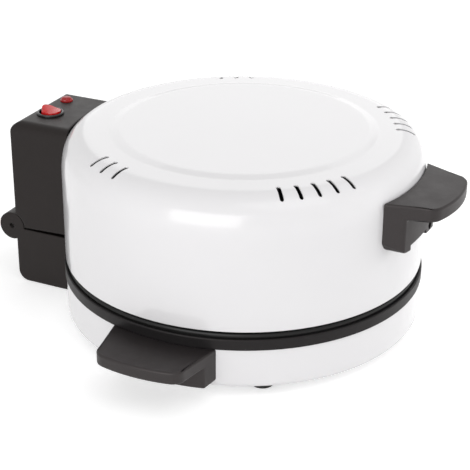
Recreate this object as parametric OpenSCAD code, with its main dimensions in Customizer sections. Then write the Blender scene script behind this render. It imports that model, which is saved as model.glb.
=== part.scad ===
/* [Pan] */
// Outer radius of the lid wall and of the base wall
shell_r = 160; // [150:1:175]
// Height of the base wall, from its bottom to the black ring
base_h = 36.3; // [34:0.1:42]
// Height of the straight wall of the lid
lid_wall_h = 80.7; // [70:0.1:95]
// Thickness of the enamelled steel sheet
sheet_t = 1.2; // [1:0.1:1.6]
// Height of the rubber feet
foot_h = 8; // [6:0.5:12]
// Gap between the lid's rim and the plate's rim when shut
lid_gap = 1.5; // [0.8:0.1:3]

/* [Black ring and plate] */
// How far the black ring stands out past the base wall
ring_out = 1.2; // [1:0.1:3]
// Height of the black ring's outer face
ring_h = 9.7; // [8:0.1:12]
// How far the plate's rim stays inside the base wall's outer face
plate_in = 1.5; // [1.4:0.1:10]
// Thickness of the baking plate
plate_t = 5; // [4:0.5:7]
// How far the plate's rim stands above the black ring
rim_up = 4.5; // [3:0.1:6]

/* [Lid top] */
// How far the top's raised step stays inside the lid's wall
step_in = 49.5; // [40:0.5:70]
// Height of the raised step
step_h = 1.6; // [0.8:0.1:3]
// Vent slots in each front group
front_slots = 5; // [3:1:6]
// Vent slots in each rear group
rear_slots = 3; // [2:1:4]
// Angle between neighbouring slots
slot_pitch = 6.2; // [5:0.1:8]
// Width of a vent slot
slot_w = 3.4; // [2.5:0.1:4]

/* [Handles] */
// Half width of the lid handle where it meets the wall
lid_grip_w = 52.5; // [44:0.5:54]
// How far the lid handle's edge stands out from the wall
lid_grip_out = 39.5; // [35:0.5:50]
// Half width of a base handle where it meets the wall
base_grip_w = 49; // [40:0.5:54]
// How far a base handle's edge stands out from the wall
base_grip_out = 45.7; // [35:0.1:50]
// How far the lid handle's leg stands out from the wall
lid_leg_out = 15; // [12:0.5:20]
// How far a base handle's leg stands out from the wall
base_leg_out = 13.5; // [11:0.5:18]

/* [Rear box and hinge] */
// Half width of the rear box
box_w = 46.8; // [40:0.1:52]
// How far the rear box's outer face stands out from the wall
box_out = 53.5; // [48:0.1:56]
// Thickness of the box's moulded walls
box_t = 3; // [2.5:0.1:4]
// How far the hinge pin's middle stands behind the box's outer face
pin_out = 5; // [3:0.1:8]
// Height of the hinge pin's middle above the black ring
pin_up = 1.3; // [0.5:0.1:3]
// Outer radius of the hinge knuckles
knuckle_r = 13.2; // [12:0.1:14]
// Radius of the hinge pin
pin_r = 2.5; // [2:0.1:3]
// Largest angle that the lid opens to
open_max = 95; // [80:1:100]

/* [Switch and lamp] */
// Outer radius of the round switch's rim
bezel_r = 12.5; // [11:0.1:13]
// How far the rocker is tipped from level
rocker_tip = 11; // [9:0.5:12]
// Radius of the indicator lamp's lens
lamp_r = 6; // [5:0.1:7]

/* [Heating] */
// Radius of the upper heating ring
upper_heater_r = 105; // [80:1:112]
// Radius of the lower heating ring
lower_heater_r = 92; // [80:1:100]
// Radius of the heating tubes
tube_r = 3.2; // [3:0.1:3.6]

/* [Hidden] */
$fn = 64;
// The frame's origin is the middle of the footprint, on the table. The pan's axis stands at y = pan_y.
box_y = shell_r + box_out;
hinge_y = box_y + pin_out;
lid_grip_reach = shell_r + lid_grip_out;
base_grip_reach = shell_r + base_grip_out;
lid_leg_r = shell_r + lid_leg_out;
base_leg_r = shell_r + base_leg_out;
pan_y = -((hinge_y + knuckle_r) - lid_grip_reach) / 2;
// Running gap between pieces that move past each other, and fit gap between pieces that are fixed together
move_gap = 0.8;
fit_gap = 0.1;
pin_gap = 0.05;
cut = 1;
far = 400;
// Heights of the base
base_z = foot_h;
base_top = base_z + base_h;
base_edge_r = 5;
lip_r = shell_r - 32;
flange_r = shell_r - 10;
cover_r = shell_r - 5.5;
cover_z = base_z + sheet_t;
cover_top = cover_z + sheet_t;
cover_slots = 12;
cover_slot_r = 84;
cover_slot_l = 24;
cover_slot_w = 5;
foot_angles = [-148, -32, 32, 148];
foot_pitch_r = shell_r - 22;
foot_top_r = 11;
foot_end_r = 9.8;
foot_hole_r = 5;
foot_hole_h = 4.6;
nut_r = 4.04;
nut_h = 3.2;
wire_hole_r = 7;
wire_hole_z = base_z + 22;
// Heights of the black ring and the plate
ring_r = shell_r + ring_out;
ring_top = base_top + ring_h;
hinge_z = ring_top + pin_up;
ledge_h = 5.2;
plate_z = base_top + ledge_h;
plate_r = shell_r - plate_in;
plate_top = plate_z + plate_t;
rim_top = ring_top + rim_up;
rim_w = 7;
rim_edge_r = 3;
// Heights and arcs of the lid's profile
lid_z = rim_top + lid_gap;
wall_top = lid_z + lid_wall_h;
big_arc_r = 68;
small_arc_r = 25.4;
shoulder_rise = 34.2;
arc_a = asin((shoulder_rise - small_arc_r) / (big_arc_r - small_arc_r));
arc_run = (big_arc_r - small_arc_r) * cos(arc_a);
small_arc_x = shell_r - big_arc_r + arc_run;
small_arc_z = wall_top + (big_arc_r - small_arc_r) * sin(arc_a);
shoulder_top = small_arc_z + small_arc_r;
step_r = shell_r - step_in;
top_fall = 0.6;
top_z = shoulder_top + top_fall + step_h;
step_slope = 4.5;
hem_r = 1.2;
// Vent slots: where they start and end, and the middle of each group
slot_in = shell_r - 26.2;
slot_out = shell_r - 11;
front_groups = [-131, -53];
rear_groups = [28.5, 153];
// Handles
base_grip_t = 11;
base_grip_z = base_top - 0.4;
base_leg_z = base_z + 5.5;
lid_turn = -2;
lid_grip_t = 13.4;
lid_grip_z = wall_top + 13;
lid_grip_fall = 1.9;
lid_leg_z = lid_grip_z - 44.2;
lid_foot_w = 18;
lid_foot_h = 5.5;
lid_foot_rise = 4.3;
lid_boss_w = 8;
lid_boss_up = 6;
grip_corner = 7.5;
base_leg_corner = 1.5;
lid_leg_corner = 12;
base_grip_end = 40;
base_bow = 4.1;
lid_grip_end = 39.5;
lid_bow = 5.6;
handle_screw_r = 2;
handle_screw_x = 28;
handle_screw_z = base_z + 16;
handle_screw_l = 11;
handle_hole_d = 7;
// Rear box, split at the hinge's height
split_low = hinge_z - 1.1;
split_high = hinge_z + 0.7;
wedge_rise = 2.6;
box_top = wall_top + 19.8;
box_foot = 0.8;
box_side_r = 9;
box_corner_r = 10;
barrel_w = box_w - 12;
seat_r = knuckle_r + move_gap;
stop_w = 8;
stop_gap = 2.2;
stop_a = 205;
stop_span = 14;
stop_depth = 3.2;
// Switch, lamp and their places on the box
switch_x = -12.3;
switch_y = box_y - 21.8;
lamp_x = 24.1;
lamp_y = box_y - 16.8;
bezel_h = 2.2;
bezel_in = 10.3;
housing_r = 11.6;
housing_h = 18;
rocker_r = 8.8;
rocker_side = 8.2;
rocker_end = 8.5;
rocker_dish = 2.2;
rocker_pivot = box_top + bezel_h - 5;
trunnion_r = 1.3;
trunnion_l = 11.2;
lamp_stem_r = 4.4;
lead_r = 1.4;
lead_hole_r = 6;
lead_hole_y = box_y - 29.5;
boss_side_r = 5;
// Heating parts
thermostat_x = 5;
thermostat_low = plate_z - 17;
boss_r = 6;
boss_pitch_r = 60;
bend_r = tube_r + 0.35;
heater_z = plate_z - bend_r - 0.05;
press_z = heater_z - bend_r - 0.05 - sheet_t;
shield_z = 24;
shield_r = shell_r - 42;
shield_slope = 18;
shield_rise = 14;
shield_t = 1;
lower_pin_y = shell_r - 36;
upper_pin_y = shell_r + 12;
pin_l = 10;
bolt_r = 1.95;
bolt_hole = 2.2;
lead_x = 12;
lead_pin_r = 1.5;
reflector_z = wall_top;
upper_heater_z = reflector_z - 10;
reflector_t = 1;
reflector_rise = 9;
reflector_slope = 12;
bracket_angles = [45, 135, 225, 315];
bracket_w = 8;
bracket_drop = 26;
rivet_r = 1.5;
rivet_pitch_r = shell_r - 27;
rivet_in = 7;
clip_t = 1.2;

// Moves a piece from the pan's axis to its place in the frame.
module home() {
    translate([0, pan_y, 0]) children();
}

// Repeats a piece at each angle of a list, round the pan's axis.
module around(angles) {
    for (a = angles) rotate([0, 0, a]) children();
}

// A solid disc of the given radius, between two heights.
module disc(r, z0, z1) {
    translate([0, 0, z0]) cylinder(r = r, h = z1 - z0, $fn = 128);
}

// A round bar from x0 to x1, parallel to the x axis.
module bar_x(r, x0, x1) {
    translate([x0, 0, 0]) rotate([0, 90, 0]) cylinder(r = r, h = x1 - x0);
}

// A round bar from y0 to y1, parallel to the y axis.
module bar_y(r, y0, y1) {
    translate([0, y0, 0]) rotate([-90, 0, 0]) cylinder(r = r, h = y1 - y0);
}

// A pan head screw that points along +Z, with its head below z = 0.
module screw(shank_l, head_r = 4, head_h = 2.6) {
    difference() {
        union() {
            translate([0, 0, -head_h]) cylinder(r1 = head_r - 0.7, r2 = head_r, h = 0.9);
            translate([0, 0, -head_h + 0.9]) cylinder(r = head_r, h = head_h - 0.9);
            cylinder(r = bolt_r, h = shank_l);
        }
        for (a = [0, 90]) {
            rotate([0, 0, a]) translate([-2.2, -0.45, -head_h - 0.1]) cube([4.4, 0.9, 1.5]);
        }
    }
}

// The right half of the base's outline, drawn in by t from its outer face.
module base_outline(t) {
    translate([0, base_z + t]) square([shell_r - base_edge_r, base_h - 2 * t]);
    translate([0, base_z + base_edge_r]) square([shell_r - t, base_h - base_edge_r - t]);
    translate([shell_r - base_edge_r, base_z + base_edge_r]) circle(r = base_edge_r - t, $fn = 48);
}

module base_shell() {
    color("ghostwhite") home() difference() {
        rotate_extrude($fn = 180) difference() {
            base_outline(0);
            base_outline(sheet_t);
        }
        disc(flange_r, base_top - 2 * sheet_t, base_top + cut);
        disc(lip_r, base_z - cut, base_z + 2 * sheet_t);
        foot_places() cylinder(r = bolt_hole, h = far, center = true);
        base_handle_places() bar_x(bolt_hole, -shell_r - cut, -shell_r + 9);
        lower_box_places() bar_y(bolt_hole, -cut, 6);
        translate([0, 0, wire_hole_z]) bar_y(wire_hole_r, shell_r - 3, shell_r + cut);
    }
}

module foot_places() {
    around(foot_angles) translate([foot_pitch_r, 0, 0]) children();
}

module bottom_cover() {
    color("silver") home() difference() {
        disc(cover_r, cover_z, cover_top);
        foot_places() cylinder(r = bolt_hole, h = far, center = true);
        tie_places() cylinder(r = bolt_hole, h = far, center = true);
        around([for (i = [0:cover_slots - 1]) (i + 0.5) * 360 / cover_slots]) {
            translate([cover_slot_r, -cover_slot_w / 2, 0]) cube([cover_slot_l, cover_slot_w, 2 * cover_top]);
        }
    }
}

module feet() {
    color([0.09, 0.09, 0.09]) home() foot_places() difference() {
        cylinder(r1 = foot_end_r, r2 = foot_top_r, h = foot_h);
        translate([0, 0, -cut]) cylinder(r = foot_hole_r, h = cut + foot_hole_h);
        cylinder(r = bolt_hole, h = far, center = true);
    }
}

module foot_screws() {
    past_nut = 1.5;
    color("silver") home() foot_places() {
        translate([0, 0, foot_hole_h]) screw(cover_top + nut_h - foot_hole_h + past_nut);
        difference() {
            translate([0, 0, cover_top]) cylinder(r = nut_r, h = nut_h, $fn = 6);
            cylinder(r = bolt_r, h = far, center = true);
        }
    }
}

module trim_ring() {
    lip_in = plate_r + 0.3;
    edge = 1.2;
    color([0.10, 0.10, 0.10]) home() rotate_extrude($fn = 180) {
        translate([flange_r - 1, base_top]) square([ring_r - flange_r + 1, ledge_h]);
        translate([lip_in, base_top]) square([ring_r - lip_in, ring_h - edge]);
        translate([ring_r - edge, ring_top - edge]) circle(r = edge, $fn = 48);
        translate([lip_in, ring_top - edge - 0.5]) square([ring_r - lip_in - edge, edge + 0.5]);
    }
}

module tie_places() {
    around([90, 210, 330]) translate([boss_pitch_r, 0, 0]) children();
}

module baking_plate() {
    rim_in = plate_r - rim_w;
    rim_h = rim_top - plate_z;
    color([0.16, 0.15, 0.15]) home() difference() {
        union() {
            rotate_extrude($fn = 180) {
                translate([0, plate_z]) square([plate_r, plate_t]);
                translate([rim_in, plate_z]) square([rim_w, rim_h - rim_edge_r]);
                translate([rim_in + rim_edge_r, rim_top - rim_edge_r]) circle(r = rim_edge_r, $fn = 48);
                translate([plate_r - rim_edge_r, rim_top - rim_edge_r]) circle(r = rim_edge_r, $fn = 48);
                translate([rim_in + rim_edge_r, rim_top - rim_edge_r]) {
                    square([rim_w - 2 * rim_edge_r, rim_edge_r]);
                }
                polygon([[rim_in - 3.5, plate_top], [rim_in, plate_top], [rim_in, plate_top + 1.6]]);
            }
            tie_places() disc(boss_r, press_z + sheet_t, plate_z + cut);
        }
        tie_places() disc(handle_screw_r, press_z, plate_z + 1.5);
    }
}

// A heating ring with a gap at the back, whose ends turn out to y = lead_end.
module heating_ring(ring, z, lead_end) {
    gap_a = asin(lead_x / ring);
    translate([0, 0, z]) {
        rotate([0, 0, 90 + gap_a]) rotate_extrude(angle = 360 - 2 * gap_a, $fn = 128) {
            translate([ring, 0]) circle(r = tube_r, $fn = 32);
        }
        for (s = [-1, 1]) {
            translate([s * lead_x, ring * cos(gap_a), 0]) sphere(r = bend_r, $fn = 48);
            translate([s * lead_x, 0, 0]) bar_y(tube_r, ring * cos(gap_a), lead_end);
            translate([s * lead_x, 0, 0]) bar_y(lead_pin_r, lead_end, lead_end + pin_l);
        }
    }
}

module lower_heater() {
    color([0.35, 0.33, 0.32]) home() heating_ring(lower_heater_r, heater_z, lower_pin_y);
}

module heater_press_plate() {
    color("gray") home() difference() {
        disc(lower_heater_r + 18, press_z, press_z + sheet_t);
        disc(boss_pitch_r - 15, press_z - cut, plate_z);
        tie_places() cylinder(r = bolt_hole, h = far, center = true);
    }
}

module heat_shield() {
    floor_r = shield_r - shield_slope;
    rim_z = shield_z + shield_rise;
    color("lightgray") home() difference() {
        rotate_extrude($fn = 128) {
            polygon([[0, shield_z], [floor_r, shield_z], [shield_r, rim_z],
                [shield_r - 1.5 * shield_t, rim_z], [floor_r - 0.8 * shield_t, shield_z + shield_t],
                [0, shield_z + shield_t]]);
        }
        tie_places() cylinder(r = bolt_hole, h = far, center = true);
    }
}

module tie_spacers() {
    spacer_r = 4;
    color("silver") home() tie_places() {
        for (span = [[cover_top, shield_z], [shield_z + shield_t, press_z]]) {
            difference() {
                disc(spacer_r, span[0], span[1]);
                disc(bolt_hole, span[0] - cut, span[1] + cut);
            }
        }
    }
}

module tie_bolts() {
    color("silver") home() tie_places() translate([0, 0, cover_z]) screw(plate_z - cover_z);
}

module thermostat() {
    cap_r = 14;
    cap_h = 1.5;
    body_r = 9;
    body_h = 8;
    blade = [6, 0.8, 8];
    color("burlywood") home() {
        disc(cap_r, plate_z - cap_h, plate_z);
        disc(body_r, plate_z - cap_h - body_h, plate_z - cap_h);
        for (s = [-1, 1]) {
            translate([s * thermostat_x - blade[0] / 2, -blade[1] / 2, thermostat_low]) cube(blade);
        }
    }
}

// Places of the two screws of the left base handle: the right one's are a mirror image.
module base_handle_places() {
    for (side = [0, 1]) {
        mirror([side, 0, 0]) {
            for (s = [-1, 1]) translate([0, s * handle_screw_x, handle_screw_z]) children();
        }
    }
}

// The grip's outline seen from above: sides that draw in, round corners and a bowed outer edge.
module grip_outline(half_w, end_w, reach, corner_back) {
    bow_r = (pow(end_w - grip_corner / 2, 2) + pow(corner_back, 2)) / (2 * corner_back);
    bow_y = reach - bow_r;
    corner_x = end_w - grip_corner;
    corner_y = bow_y + sqrt(pow(bow_r - grip_corner, 2) - pow(corner_x, 2));
    k = far / (bow_r - grip_corner);
    intersection() {
        union() {
            polygon([[-half_w, shell_r - 15], [half_w, shell_r - 15], [end_w, corner_y], [-end_w, corner_y]]);
            for (s = [-1, 1]) translate([s * corner_x, corner_y]) circle(r = grip_corner);
            polygon([[0, bow_y], [corner_x * k, bow_y + (corner_y - bow_y) * k], [0, bow_y + far],
                [-corner_x * k, bow_y + (corner_y - bow_y) * k]]);
        }
        translate([0, bow_y]) circle(r = bow_r, $fn = 128);
    }
}

// The leg's outline seen from the front, with round lower corners.
module leg_outline(half_w, z0, z1, corner) {
    translate([-half_w, z0 + corner]) square([2 * half_w, z1 - z0 - corner]);
    translate([-half_w + corner, z0]) square([2 * (half_w - corner), corner + 1]);
    for (s = [-1, 1]) translate([s * (half_w - corner), z0 + corner]) circle(r = corner);
}

// A whole handle that points to +Y: a ledge to grip, on a leg that follows the pan's wall.
module handle(half_w, end_w, reach, corner_back, top_z, grip_t, leg_r, leg_z, leg_corner) {
    difference() {
        intersection() {
            union() {
                disc(reach + cut, top_z - grip_t, top_z);
                disc(leg_r, leg_z, top_z - grip_t / 2);
            }
            translate([0, 0, leg_z]) linear_extrude(top_z - leg_z) {
                grip_outline(half_w, end_w, reach, corner_back);
            }
            translate([0, far, 0]) rotate([90, 0, 0]) {
                linear_extrude(far) leg_outline(half_w, leg_z, top_z, leg_corner);
            }
        }
        disc(shell_r + fit_gap, leg_z - cut, top_z + cut);
    }
}

module base_handle() {
    difference() {
        handle(base_grip_w, base_grip_end, base_grip_reach, base_bow, base_grip_z, base_grip_t, base_leg_r,
            base_leg_z, base_leg_corner);
        for (s = [-1, 1]) {
            translate([s * handle_screw_x, 0, handle_screw_z]) bar_y(handle_screw_r, base_leg_r / 2, shell_r + handle_hole_d);
        }
    }
}

module handle_left() {
    color([0.15, 0.15, 0.15]) home() rotate([0, 0, 90]) base_handle();
}

module handle_right() {
    color([0.15, 0.15, 0.15]) home() rotate([0, 0, -90]) base_handle();
}

module base_handle_screws() {
    wall_x = sqrt(pow(shell_r - sheet_t, 2) - pow(handle_screw_x + 4, 2));
    color("silver") home() base_handle_places() {
        translate([-wall_x, 0, 0]) rotate([0, -90, 0]) screw(handle_screw_l);
    }
}

// The rear box's block between two heights, rounded along its outer upper or lower edge.
module box_block(z0, z1, inset, low_corner, high_corner) {
    y1 = box_y - inset;
    w = box_w - inset;
    translate([-w, 0, 0]) rotate([90, 0, 90]) linear_extrude(2 * w) {
        translate([shell_r - 30, z0 + low_corner]) square([y1 - shell_r + 30, z1 - z0 - low_corner - high_corner]);
        if (low_corner > 0) {
            translate([shell_r - 30, z0]) square([y1 - shell_r + 30 - low_corner, low_corner + 1]);
            translate([y1 - low_corner, z0 + low_corner]) circle(r = low_corner);
        }
        if (high_corner > 0) {
            translate([shell_r - 30, z1 - high_corner - 1]) {
                square([y1 - shell_r + 30 - high_corner, high_corner + 1]);
            }
            translate([y1 - high_corner, z1 - high_corner]) circle(r = high_corner);
        }
    }
}

// Bars on the hinge pin's line.
module on_pin() {
    translate([0, hinge_y, hinge_z]) children();
}

// Places of the rear box's four fixing screws in the base wall, at the wall's inner face.
box_screw_x = 32;
lower_box_z = [box_foot + 17.2, split_low - 20.2];
upper_box_z = [lid_z + 24, wall_top - 6.7];
box_screw_l = 17;
box_screw_y = sqrt(pow(shell_r - sheet_t, 2) - pow(box_screw_x + 4, 2));

module lower_box_places() {
    for (s = [-1, 1], z = lower_box_z) translate([s * box_screw_x, box_screw_y, z]) children();
}

module upper_box_places() {
    for (s = [-1, 1], z = upper_box_z) translate([s * box_screw_x, box_screw_y, z]) children();
}

// Terminal block on the box's floor, and the inlet behind it.
block_y = shell_r + 7;
block_d = 14;
block_h = 13;
block_pitch = 11;
block_z = box_foot + box_t + block_h / 2;
inlet_z = box_foot + 26.2;
inlet_w = 13.6;
inlet_h = 9.8;
inlet_d = 18;
inlet_wall = 1.6;
inlet_rim = 2;
inlet_tail = 4;
blade_pitch = 7;
blade_drop = 2;

module rear_box_lower() {
    color([0.15, 0.14, 0.14]) home() {
        difference() {
            union() {
                difference() {
                    box_block(box_foot, split_low, 0, box_corner_r, 0);
                    difference() {
                        box_block(box_foot + box_t, split_low - box_t, box_t, box_corner_r - box_t, 0);
                        on_pin() bar_x(seat_r + box_t, -box_w, box_w);
                        lower_box_places() bar_y(boss_side_r, -10, box_y);
                    }
                }
                on_pin() bar_x(knuckle_r, -box_w, box_w);
            }
            on_pin() bar_x(seat_r, -barrel_w, barrel_w);
            on_pin() bar_x(pin_r, -box_w - cut, box_w + cut);
            disc(shell_r + fit_gap, -cut, base_top);
            disc(ring_r + fit_gap, base_top - fit_gap, far);
            lower_box_places() bar_y(handle_screw_r, -cut, box_screw_l + cut);
            translate([-inlet_w, box_y - 10, inlet_z - inlet_h]) cube([2 * inlet_w, 20, 2 * inlet_h]);
            translate([0, lead_hole_y, split_low]) cylinder(r = lead_hole_r, h = 4 * box_t, center = true);
        }
        round_pin_arc(stop_a, stop_span, knuckle_r - stop_depth + move_gap, seat_r + cut, stop_w);
    }
}

// A ring segment round the hinge pin, from angle a, where 0 points to +Y and 90 points up.
module round_pin_arc(a, span, r0, r1, w) {
    on_pin() rotate([0, 90, 0]) rotate([0, 0, a - 270]) {
        rotate_extrude(angle = span) translate([r0, -w / 2]) square([r1 - r0, w]);
    }
}

module rear_box_screws() {
    color("silver") home() lower_box_places() rotate([-90, 0, 0]) screw(box_screw_l);
}

module terminal_block() {
    block_w = 18;
    color("ivory") home() difference() {
        translate([-block_w, block_y, box_foot + box_t]) cube([2 * block_w, block_d, block_h]);
        for (x = [-block_pitch, 0, block_pitch]) {
            translate([x, 0, block_z]) bar_y(1.8, block_y - cut, block_y + block_d + cut);
            translate([x, block_y + block_d / 2, block_z]) cylinder(r = 2.2, h = block_h);
        }
    }
}

// The inlet's outline seen from behind the box, with two chamfered upper corners.
module inlet_outline(w, h, chamfer) {
    polygon([[-w, -h], [w, -h], [w, h - chamfer], [w - chamfer, h], [-w + chamfer, h], [-w, h - chamfer]]);
}

// Places a drawing made in x and z at the box's outer face, and extrudes it towards the pan.
module from_back(y1, depth) {
    translate([0, y1, inlet_z]) rotate([90, 0, 0]) linear_extrude(depth) children();
}

module inlet_blades(w, h) {
    for (p = [[-blade_pitch, -blade_drop], [0, blade_drop], [blade_pitch, -blade_drop]]) {
        translate([p[0] - w, p[1] - h]) square([2 * w, 2 * h]);
    }
}

module power_inlet() {
    color([0.12, 0.12, 0.12]) home() difference() {
        union() {
            from_back(box_y + inlet_rim, inlet_rim) {
                inlet_outline(inlet_w + inlet_rim, inlet_h + inlet_rim, 0.5);
            }
            from_back(box_y, inlet_d) inlet_outline(inlet_w - fit_gap, inlet_h - fit_gap, 0.5);
        }
        from_back(box_y + inlet_rim + cut, inlet_d + cut - 1) {
            inlet_outline(inlet_w - inlet_wall, inlet_h - inlet_wall, 4);
        }
        from_back(box_y, far) inlet_blades(2, 1);
    }
}

module inlet_pins() {
    color("silver") home() from_back(box_y - 3, inlet_d + inlet_tail) inlet_blades(2, 1);
}

// A wire along a chain of points: each stretch runs a little past its ends, so that it meets the next one.
module wire(path, r) {
    past = 0.7 * r;
    for (i = [0:len(path) - 2]) {
        d = path[i + 1] - path[i];
        before = i == 0 ? 0 : past;
        after = i > 0 && i == len(path) - 2 ? 0 : past;
        translate(path[i]) rotate([0, acos(d[2] / norm(d)), atan2(d[1], d[0])]) {
            translate([0, 0, -before]) cylinder(r = r + 0.1 * (i % 2), h = before + norm(d) + after);
        }
    }
}

module base_leads() {
    tail_y = box_y - 3 - inlet_d - inlet_tail;
    pin_end = lower_pin_y + pin_l;
    low_z = wire_hole_z + 1;
    color("tomato") home() for (s = [-1, 1]) {
        wire([[s * lead_x, pin_end + 1.2, heater_z], [s * lead_x, pin_end + 7, heater_z - 8],
            [s * 4, shell_r - 8, low_z], [s * 4, shell_r + 18, low_z],
            [s * 3, lead_hole_y, split_low - 0.3]], lead_r);
        wire([[s * thermostat_x, 0, thermostat_low - 1.6], [s * 8, 12, low_z - 2],
            [s * 8, shell_r - 64, low_z - 2], [s * 8, shield_r - 1, low_z + 9.6],
            [s * 8, shell_r - 22, low_z + 1], [s * 2, shell_r - 10, low_z - 5],
            [s * 2, shell_r + 3, low_z - 6]], lead_r);
        wire([[s * block_pitch, block_y + block_d + 0.9, block_z],
            [s * blade_pitch, tail_y - 1.6, inlet_z - blade_drop]], lead_r);
    }
}

module hinge_pin() {
    color("silver") home() on_pin() bar_x(pin_r, -box_w + 1.5, box_w - 1.5);
}

// The right half of the lid's outline, drawn in by t from its outer face, from height z0 up.
module lid_outline(t, z0) {
    arc_x = shell_r - big_arc_r;
    translate([0, z0]) square([shell_r - t, wall_top - z0]);
    intersection() {
        translate([arc_x, wall_top]) circle(r = big_arc_r - t, $fn = 128);
        polygon([[arc_x, wall_top - cut], [arc_x, wall_top], [arc_x + far, wall_top + far * tan(arc_a)],
            [arc_x + far, wall_top - cut]]);
    }
    translate([small_arc_x, small_arc_z]) circle(r = small_arc_r - t, $fn = 64);
    polygon([[0, wall_top - cut], [small_arc_x, wall_top - cut], [small_arc_x, shoulder_top - t],
        [step_r + step_slope, shoulder_top + top_fall - t], [step_r, top_z - t], [0, top_z - t]]);
}

// The angles of a group of n slots about its middle.
function group(middle, n) = [for (i = [0:n - 1]) middle + (i - (n - 1) / 2) * slot_pitch];

module vent_slot() {
    z0 = wall_top + 12;
    translate([slot_in, 0, z0]) cylinder(r = slot_w / 2 + 0.4, h = far);
    translate([slot_out - slot_w / 2, 0, z0]) cylinder(r = slot_w / 2, h = far);
    translate([slot_in, -slot_w / 2, z0]) cube([slot_out - slot_in - slot_w / 2, slot_w, far]);
}

module lid_shell() {
    color("ghostwhite") home() difference() {
        rotate_extrude($fn = 180) {
            difference() {
                lid_outline(0, lid_z + hem_r);
                lid_outline(sheet_t, lid_z);
            }
            translate([shell_r - hem_r, lid_z + hem_r]) circle(r = hem_r, $fn = 32);
        }
        for (a = front_groups) around(group(a, front_slots)) vent_slot();
        for (a = rear_groups) around(group(a, rear_slots)) vent_slot();
        for (s = [-1, 1]) translate([s * lead_x, 0, upper_heater_z]) bar_y(tube_r + 0.6, shell_r - 9, shell_r + cut);
        upper_box_places() bar_y(bolt_hole, -cut, 6);
        lid_handle_places() bar_y(bolt_hole, -8, 4);
        on_lid_front() translate([0, 0, hand_screw_z]) bar_y(bolt_hole, -shell_r - cut, -shell_r + 2 * sheet_t);
    }
}

module lid_brackets() {
    foot_r = rivet_pitch_r - 6;
    color("silver") home() around(bracket_angles) difference() {
        rotate([0, 0, -bracket_w / 2]) rotate_extrude(angle = bracket_w, $fn = 180) {
            translate([shell_r - 2 * sheet_t, reflector_z - bracket_drop]) square([sheet_t, bracket_drop]);
            translate([foot_r, reflector_z - sheet_t]) square([shell_r - sheet_t - foot_r, sheet_t]);
        }
        translate([rivet_pitch_r, 0, 0]) cylinder(r = rivet_r + fit_gap, h = far);
    }
}

module lid_reflector() {
    foot = rivet_pitch_r - rivet_in;
    rim = rivet_pitch_r + rivet_in;
    dome_z = reflector_z + reflector_rise;
    color("gainsboro") home() difference() {
        rotate_extrude($fn = 128) {
            polygon([[0, dome_z], [foot - reflector_slope, dome_z], [foot, reflector_z], [rim, reflector_z],
                [rim, reflector_z + reflector_t], [foot + 0.6, reflector_z + reflector_t],
                [foot + 0.6 - reflector_slope, dome_z + reflector_t], [0, dome_z + reflector_t]]);
        }
        around(bracket_angles) translate([rivet_pitch_r, 0, 0]) cylinder(r = rivet_r + fit_gap, h = far);
    }
}

module reflector_rivets() {
    low = reflector_z - sheet_t;
    high = reflector_z + reflector_t;
    head_h = 1;
    color("silver") home() around(bracket_angles) translate([rivet_pitch_r, 0, 0]) {
        disc(rivet_r, low - head_h, high + head_h);
        disc(2 * rivet_r, low - head_h, low);
        disc(2 * rivet_r, high, high + head_h);
    }
}

module upper_heater() {
    color([0.35, 0.33, 0.32]) home() heating_ring(upper_heater_r, upper_heater_z, upper_pin_y);
}

module heater_clips() {
    clip_a = 4.4;
    hang_h = reflector_z + reflector_rise - upper_heater_z;
    color("silver") home() around(bracket_angles) rotate([0, 0, -clip_a / 2]) {
        rotate_extrude(angle = clip_a, $fn = 128) translate([upper_heater_r, 0]) difference() {
            union() {
                translate([0, upper_heater_z]) circle(r = tube_r + clip_t, $fn = 32);
                translate([-clip_t / 2, upper_heater_z]) square([clip_t, hang_h]);
            }
            translate([0, upper_heater_z]) circle(r = tube_r, $fn = 32);
        }
    }
}

// Places of the screws at the lid handle's ends, and the height of its middle screw.
lid_screw_x = 34;
hand_screw_z = lid_leg_z + 10.6;
lid_screw_z = lid_grip_z - 12;
lid_screw_l = 14;
recess_r = 3.5;
recess_head_r = 3.2;
recess_d = 6.5;

// Turns a piece with the lid handle, which stands a little left of the front's middle.
module on_lid_front() {
    rotate([0, 0, lid_turn]) children();
}

module lid_handle_places() {
    screw_y = sqrt(pow(shell_r - sheet_t, 2) - pow(lid_screw_x + 4, 2));
    on_lid_front() for (s = [-1, 1]) translate([s * lid_screw_x, -screw_y, lid_screw_z]) children();
}

// The open part under the lid handle's leg, between its end feet and the boss in the middle.
module under_leg() {
    foot_in = lid_grip_w - lid_foot_w;
    step_z = lid_leg_z + lid_foot_h;
    for (s = [0, 1]) {
        mirror([s, 0, 0]) translate([0, far, 0]) rotate([90, 0, 0]) linear_extrude(far) {
            polygon([[lid_boss_w, lid_leg_z - cut], [foot_in, lid_leg_z - cut], [foot_in, step_z],
                [lid_boss_w, step_z + lid_foot_rise]]);
        }
    }
    translate([-lid_boss_w - cut, 0, lid_leg_z - cut]) cube([2 * (lid_boss_w + cut), far, lid_boss_up + cut]);
}

// What is cut off the lid handle's top, which falls a little towards its edge.
module grip_slope() {
    rotate([90, 0, 90]) translate([0, 0, -far / 2]) linear_extrude(far) {
        polygon([[shell_r - 30, lid_grip_z], [shell_r, lid_grip_z],
            [lid_grip_reach, lid_grip_z - lid_grip_fall], [far, lid_grip_z - lid_grip_fall], [far, lid_grip_z + far], [shell_r - 30, lid_grip_z + far]]);
    }
}

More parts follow.
